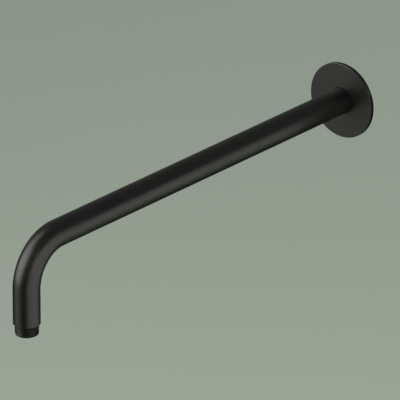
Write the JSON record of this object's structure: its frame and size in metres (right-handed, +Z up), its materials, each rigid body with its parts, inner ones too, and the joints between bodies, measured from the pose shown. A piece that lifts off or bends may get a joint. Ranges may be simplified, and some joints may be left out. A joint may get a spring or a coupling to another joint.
{
  "type": "shower arm",
  "caption": "Black bent tube that carries a shower head out from a wall, with a male pipe thread at each end and a round flange that slips along it to cover the wall hole.",
  "frame": {"origin": "where the arm's axis meets the finished wall, on the back face of the flange", "axes": "+Y into the wall along the arm's axis, so the arm reaches out along -Y; +Z up, so the outlet points along -Z; +X to the right of someone facing the wall"},
  "size_m": [0.07, 0.459, 0.116],
  "materials": {
    "black_coating": "satin",
    "rubber": "matte"
  },
  "bodies": {
    "arm": {"arm_tube": "black_coating", "inlet_connector": "black_coating", "outlet_connector": "black_coating"},
    "grip_ring": {"grip_ring": "rubber"},
    "flange": {"wall_flange": "black_coating"}
  },
  "joints": [
    {"name": "flange_slide", "type": "slide", "parent": "arm", "child": "grip_ring", "axis": [0, -1, 0], "range_m": [0, 0.38]},
    {"name": "flange_turn", "type": "hinge", "parent": "grip_ring", "child": "flange", "pos_m": [0, 0, 0], "axis": [0, 1, 0], "continuous": true}
  ]
}
